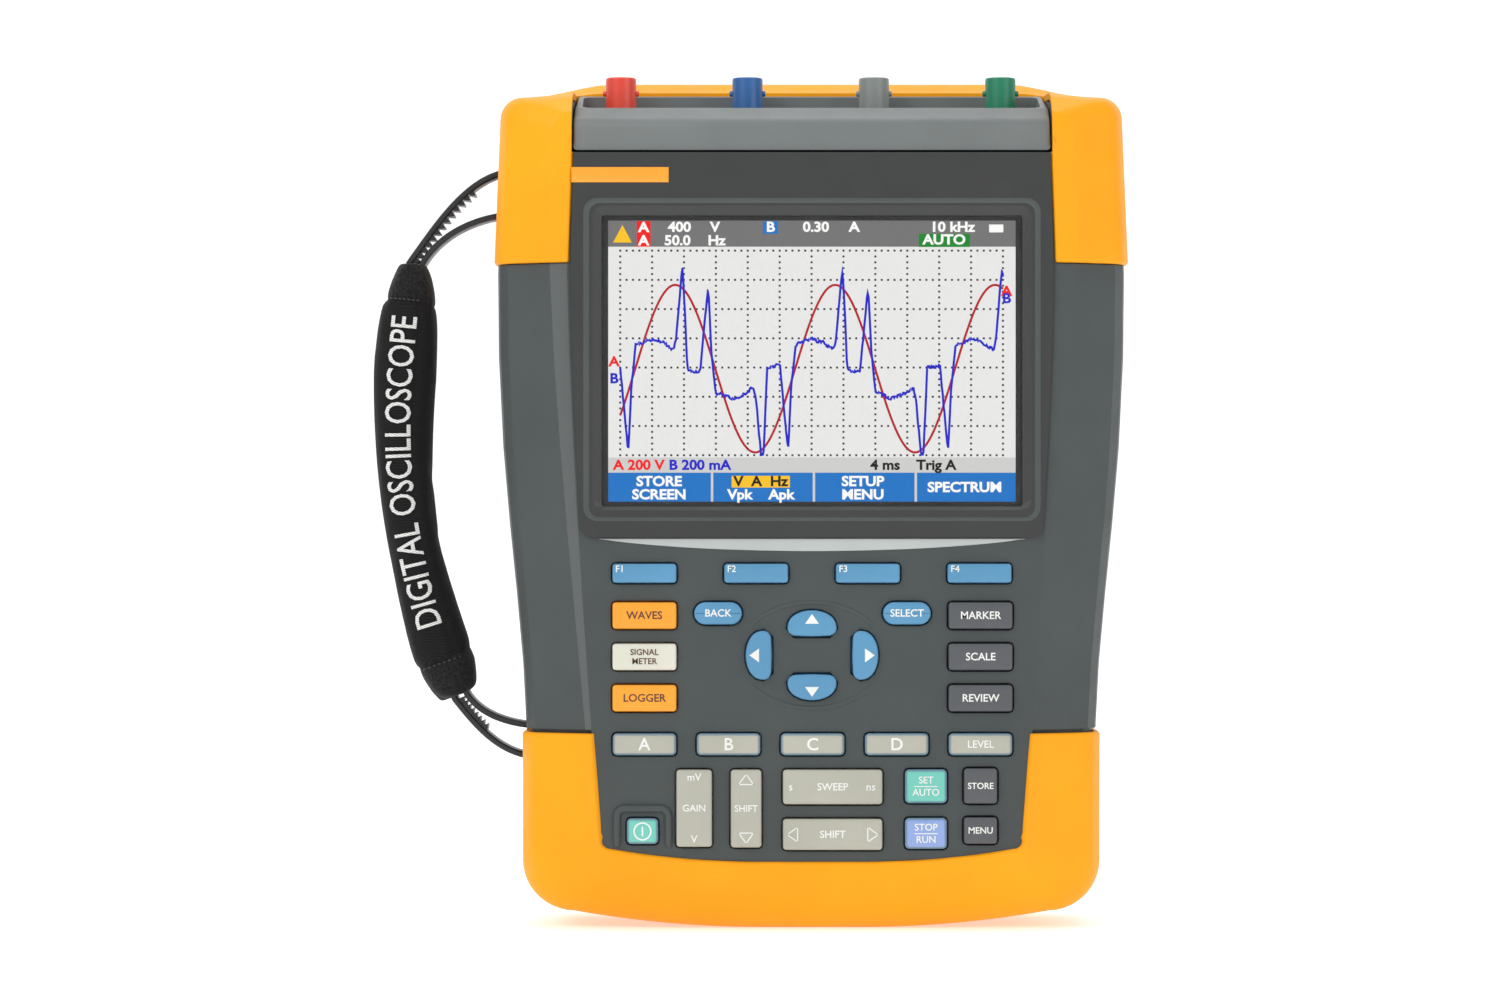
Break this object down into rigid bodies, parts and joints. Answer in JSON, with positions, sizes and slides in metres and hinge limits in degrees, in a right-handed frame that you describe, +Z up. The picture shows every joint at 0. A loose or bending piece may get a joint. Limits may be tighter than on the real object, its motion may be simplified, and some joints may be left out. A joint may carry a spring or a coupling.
{
  "type": "handheld oscilloscope",
  "caption": "Handheld oscilloscope: tapered grey case with yellow rubber bumpers, large front screen over a keypad, bayonet input sockets on top, side hand strap and rear tilt stand.",
  "frame": {"origin": "middle of the flat under the lower bumper", "axes": "+Z up, screen and keys face -Y, +X to the viewer's right"},
  "size_m": [0.238, 0.0706, 0.2675],
  "materials": {
    "case_grey": "fine moulded texture",
    "panel_grey": "fine moulded texture",
    "bumper_yellow": "satin elastomer",
    "bezel_charcoal": "satin",
    "window_clear": "clear",
    "screen": "lit display",
    "key_blue": "satin silicone",
    "key_orange": "satin silicone",
    "key_ivory": "satin silicone",
    "key_dark": "satin silicone",
    "key_stone": "satin silicone",
    "key_green": "satin silicone",
    "key_lilac": "satin silicone",
    "black_rubber": "matte",
    "socket_black": "matte",
    "strap_plastic": "satin",
    "strap_fabric": "napped loop fabric",
    "circuit_board": "solder mask",
    "steel": "plated",
    "input_red": "satin",
    "input_blue": "satin",
    "input_grey": "satin",
    "input_green": "satin"
  },
  "bodies": {
    "root": {"battery_pack": "bezel_charcoal", "bottom_bumper": "bumper_yellow", "case_screw_1": "steel", "case_screw_2": "steel", "case_screw_3": "steel", "case_screw_4": "steel", "display_bezel": "bezel_charcoal", "display_window": "window_clear", "front_case": "case_grey", "input_panel": "panel_grey", "input_socket_a": "input_red", "input_socket_b": "input_blue", "input_socket_c": "input_grey", "input_socket_d": "input_green", "keymat": "black_rubber", "lcd_panel": "screen", "main_board": "circuit_board", "port_block": "socket_black", "rear_case": "case_grey", "stand_hinge_pin": "steel", "strap_anchor_lower": "strap_plastic", "strap_anchor_upper": "strap_plastic", "top_bumper": "bumper_yellow"},
    "tilt_stand": {"tilt_stand": "bumper_yellow"},
    "battery_door": {"battery_door": "case_grey"},
    "door_lock_left": {"door_lock_left": "steel"},
    "door_lock_right": {"door_lock_right": "steel"},
    "port_cover": {"port_cover": "black_rubber"},
    "strap": {"strap_band": "strap_plastic", "strap_pad": "strap_fabric"},
    "key_f1": {"key_f1": "key_blue"},
    "key_f2": {"key_f2": "key_blue"},
    "key_f3": {"key_f3": "key_blue"},
    "key_f4": {"key_f4": "key_blue"},
    "key_scope": {"key_scope": "key_orange"},
    "key_meter": {"key_meter": "key_ivory"},
    "key_recorder": {"key_recorder": "key_orange"},
    "key_cursor": {"key_cursor": "key_dark"},
    "key_zoom": {"key_zoom": "key_dark"},
    "key_replay": {"key_replay": "key_dark"},
    "key_clear": {"key_clear": "key_blue"},
    "key_enter": {"key_enter": "key_blue"},
    "key_up": {"key_up": "key_blue"},
    "key_down": {"key_down": "key_blue"},
    "key_left": {"key_left": "key_blue"},
    "key_right": {"key_right": "key_blue"},
    "key_channel_a": {"key_channel_a": "key_stone"},
    "key_channel_b": {"key_channel_b": "key_stone"},
    "key_channel_c": {"key_channel_c": "key_stone"},
    "key_channel_d": {"key_channel_d": "key_stone"},
    "key_trigger": {"key_trigger": "key_stone"},
    "key_auto": {"key_auto": "key_green"},
    "key_run": {"key_run": "key_lilac"},
    "key_save": {"key_save": "key_dark"},
    "key_user": {"key_user": "key_dark"},
    "key_power": {"key_power": "key_green"},
    "key_range": {"key_range": "key_stone"},
    "key_move_vertical": {"key_move_vertical": "key_stone"},
    "key_time": {"key_time": "key_stone"},
    "key_move_horizontal": {"key_move_horizontal": "key_stone"}
  },
  "joints": [
    {"name": "tilt_stand_hinge", "type": "hinge", "parent": "root", "child": "tilt_stand", "pos_m": [0, 0.0326, 0.19], "axis": [1, 0, 0], "range_deg": [0, 60]},
    {"name": "battery_door_lift", "type": "slide", "parent": "root", "child": "battery_door", "axis": [0, 1, 0], "range_m": [0, 0.03]},
    {"name": "door_lock_left_turn", "type": "hinge", "parent": "battery_door", "child": "door_lock_left", "pos_m": [-0.029, 0.031, 0.103], "axis": [0, 1, 0], "range_deg": [-90, 0]},
    {"name": "door_lock_right_turn", "type": "hinge", "parent": "battery_door", "child": "door_lock_right", "pos_m": [0.029, 0.031, 0.103], "axis": [0, 1, 0], "range_deg": [-90, 0]},
    {"name": "port_cover_hinge", "type": "hinge", "parent": "root", "child": "port_cover", "pos_m": [0.09592, 0.001, 0.139], "axis": [-0.0833, 0, -0.9965], "range_deg": [0, 105]},
    {"name": "strap_swing", "type": "hinge", "parent": "root", "child": "strap", "pos_m": [-0.08785, 0, 0.14405], "axis": [-0.0535, 0, 0.9986], "range_deg": [-15, 15]},
    {"name": "key_range_rock", "type": "hinge", "parent": "root", "child": "key_range", "pos_m": [-0.0365, -0.0313, 0.0381], "axis": [1, 0, 0], "range_deg": [-2.5, 2.5], "stiffness_Nm_per_rad": 0.005},
    {"name": "key_move_vertical_rock", "type": "hinge", "parent": "root", "child": "key_move_vertical", "pos_m": [-0.0204, -0.0313, 0.038], "axis": [1, 0, 0], "range_deg": [-2.5, 2.5], "stiffness_Nm_per_rad": 0.005},
    {"name": "key_time_rock", "type": "hinge", "parent": "root", "child": "key_time", "pos_m": [0.0064, -0.0313, 0.0447], "axis": [0, 0, 1], "range_deg": [-2, 2], "stiffness_Nm_per_rad": 0.005},
    {"name": "key_move_horizontal_rock", "type": "hinge", "parent": "root", "child": "key_move_horizontal", "pos_m": [0.0064, -0.0313, 0.03], "axis": [0, 0, 1], "range_deg": [-2, 2], "stiffness_Nm_per_rad": 0.005},
    {"name": "key_f1_press", "type": "slide", "parent": "root", "child": "key_f1", "axis": [0, 1, 0], "range_m": [0, 0.001], "stiffness_N_per_m": 20},
    {"name": "key_f2_press", "type": "slide", "parent": "root", "child": "key_f2", "axis": [0, 1, 0], "range_m": [0, 0.001], "stiffness_N_per_m": 20},
    {"name": "key_f3_press", "type": "slide", "parent": "root", "child": "key_f3", "axis": [0, 1, 0], "range_m": [0, 0.001], "stiffness_N_per_m": 20},
    {"name": "key_f4_press", "type": "slide", "parent": "root", "child": "key_f4", "axis": [0, 1, 0], "range_m": [0, 0.001], "stiffness_N_per_m": 20},
    {"name": "key_scope_press", "type": "slide", "parent": "root", "child": "key_scope", "axis": [0, 1, 0], "range_m": [0, 0.001], "stiffness_N_per_m": 20},
    {"name": "key_meter_press", "type": "slide", "parent": "root", "child": "key_meter", "axis": [0, 1, 0], "range_m": [0, 0.001], "stiffness_N_per_m": 20},
    {"name": "key_recorder_press", "type": "slide", "parent": "root", "child": "key_recorder", "axis": [0, 1, 0], "range_m": [0, 0.001], "stiffness_N_per_m": 20},
    {"name": "key_cursor_press", "type": "slide", "parent": "root", "child": "key_cursor", "axis": [0, 1, 0], "range_m": [0, 0.001], "stiffness_N_per_m": 20},
    {"name": "key_zoom_press", "type": "slide", "parent": "root", "child": "key_zoom", "axis": [0, 1, 0], "range_m": [0, 0.001], "stiffness_N_per_m": 20},
    {"name": "key_replay_press", "type": "slide", "parent": "root", "child": "key_replay", "axis": [0, 1, 0], "range_m": [0, 0.001], "stiffness_N_per_m": 20},
    {"name": "key_clear_press", "type": "slide", "parent": "root", "child": "key_clear", "axis": [0, 1, 0], "range_m": [0, 0.001], "stiffness_N_per_m": 20},
    {"name": "key_enter_press", "type": "slide", "parent": "root", "child": "key_enter", "axis": [0, 1, 0], "range_m": [0, 0.001], "stiffness_N_per_m": 20},
    {"name": "key_up_press", "type": "slide", "parent": "root", "child": "key_up", "axis": [0, 1, 0], "range_m": [0, 0.001], "stiffness_N_per_m": 20},
    {"name": "key_down_press", "type": "slide", "parent": "root", "child": "key_down", "axis": [0, 1, 0], "range_m": [0, 0.001], "stiffness_N_per_m": 20},
    {"name": "key_left_press", "type": "slide", "parent": "root", "child": "key_left", "axis": [0, 1, 0], "range_m": [0, 0.001], "stiffness_N_per_m": 20},
    {"name": "key_right_press", "type": "slide", "parent": "root", "child": "key_right", "axis": [0, 1, 0], "range_m": [0, 0.001], "stiffness_N_per_m": 20},
    {"name": "key_channel_a_press", "type": "slide", "parent": "root", "child": "key_channel_a", "axis": [0, 1, 0], "range_m": [0, 0.001], "stiffness_N_per_m": 20},
    {"name": "key_channel_b_press", "type": "slide", "parent": "root", "child": "key_channel_b", "axis": [0, 1, 0], "range_m": [0, 0.001], "stiffness_N_per_m": 20},
    {"name": "key_channel_c_press", "type": "slide", "parent": "root", "child": "key_channel_c", "axis": [0, 1, 0], "range_m": [0, 0.001], "stiffness_N_per_m": 20},
    {"name": "key_channel_d_press", "type": "slide", "parent": "root", "child": "key_channel_d", "axis": [0, 1, 0], "range_m": [0, 0.001], "stiffness_N_per_m": 20},
    {"name": "key_trigger_press", "type": "slide", "parent": "root", "child": "key_trigger", "axis": [0, 1, 0], "range_m": [0, 0.001], "stiffness_N_per_m": 20},
    {"name": "key_auto_press", "type": "slide", "parent": "root", "child": "key_auto", "axis": [0, 1, 0], "range_m": [0, 0.001], "stiffness_N_per_m": 20},
    {"name": "key_run_press", "type": "slide", "parent": "root", "child": "key_run", "axis": [0, 1, 0], "range_m": [0, 0.001], "stiffness_N_per_m": 20},
    {"name": "key_save_press", "type": "slide", "parent": "root", "child": "key_save", "axis": [0, 1, 0], "range_m": [0, 0.001], "stiffness_N_per_m": 20},
    {"name": "key_user_press", "type": "slide", "parent": "root", "child": "key_user", "axis": [0, 1, 0], "range_m": [0, 0.001], "stiffness_N_per_m": 20},
    {"name": "key_power_press", "type": "slide", "parent": "root", "child": "key_power", "axis": [0, 1, 0], "range_m": [0, 0.001], "stiffness_N_per_m": 20}
  ]
}
